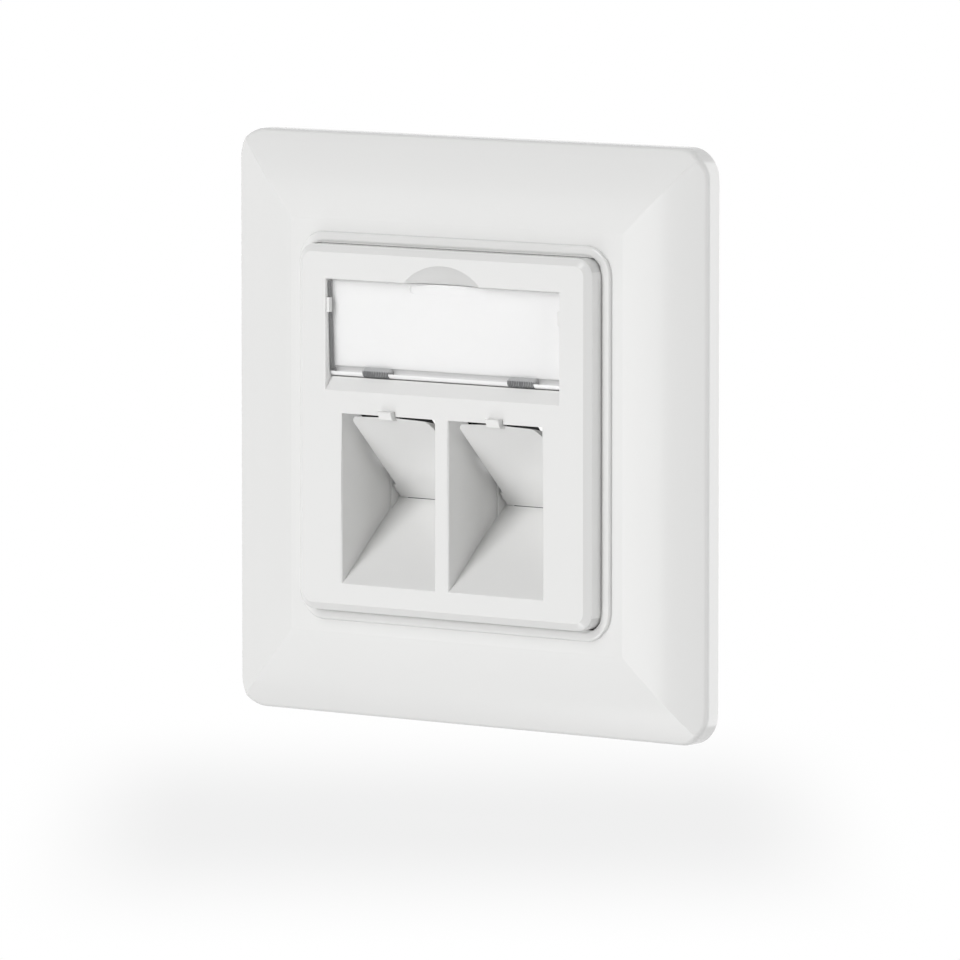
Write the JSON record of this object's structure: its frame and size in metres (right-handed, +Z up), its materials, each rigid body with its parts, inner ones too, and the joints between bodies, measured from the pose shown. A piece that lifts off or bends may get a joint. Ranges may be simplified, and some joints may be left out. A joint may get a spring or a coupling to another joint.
{
  "type": "keystone faceplate",
  "caption": "Square flush wall faceplate with a domed frame, V-shaped wells with hinged dust flaps for slanted keystone jacks, and a clear label window.",
  "frame": {"origin": "middle of the frame on the wall plane, between the wall box screws", "axes": "+X to the right seen from the front, +Y into the wall, +Z up; the face looks along -Y"},
  "size_m": [0.08, 0.0227, 0.08],
  "materials": {
    "frame_plastic": "gloss",
    "plate_plastic": "gloss",
    "flap_plastic": "satin",
    "clear_plastic": "gloss",
    "label_paper": "matte",
    "holder_plastic": "satin",
    "bracket_steel": "satin",
    "screw_steel": "satin"
  },
  "bodies": {
    "outlet": {"outer_frame": "frame_plastic", "adapter_ring": "frame_plastic", "centre_plate": "plate_plastic", "label_card": "label_paper", "keystone_holder": "holder_plastic", "mounting_bracket": "bracket_steel", "plate_screw_left": "screw_steel", "plate_screw_right": "screw_steel"},
    "flap_left": {"dust_flap_left": "flap_plastic"},
    "flap_right": {"dust_flap_right": "flap_plastic"},
    "window": {"label_window": "clear_plastic"}
  },
  "joints": [
    {"name": "left_flap_hinge", "type": "hinge", "parent": "outlet", "child": "flap_left", "pos_m": [-0.0092, 0.00327, -0.00891], "axis": [1, 0, 0], "range_deg": [0, 80]},
    {"name": "right_flap_hinge", "type": "hinge", "parent": "outlet", "child": "flap_right", "pos_m": [0.0092, 0.00327, -0.00891], "axis": [1, 0, 0], "range_deg": [0, 80]},
    {"name": "label_window_hinge", "type": "hinge", "parent": "outlet", "child": "window", "pos_m": [0, -0.0072, 0.00775], "axis": [1, 0, 0], "range_deg": [0, 60]}
  ]
}
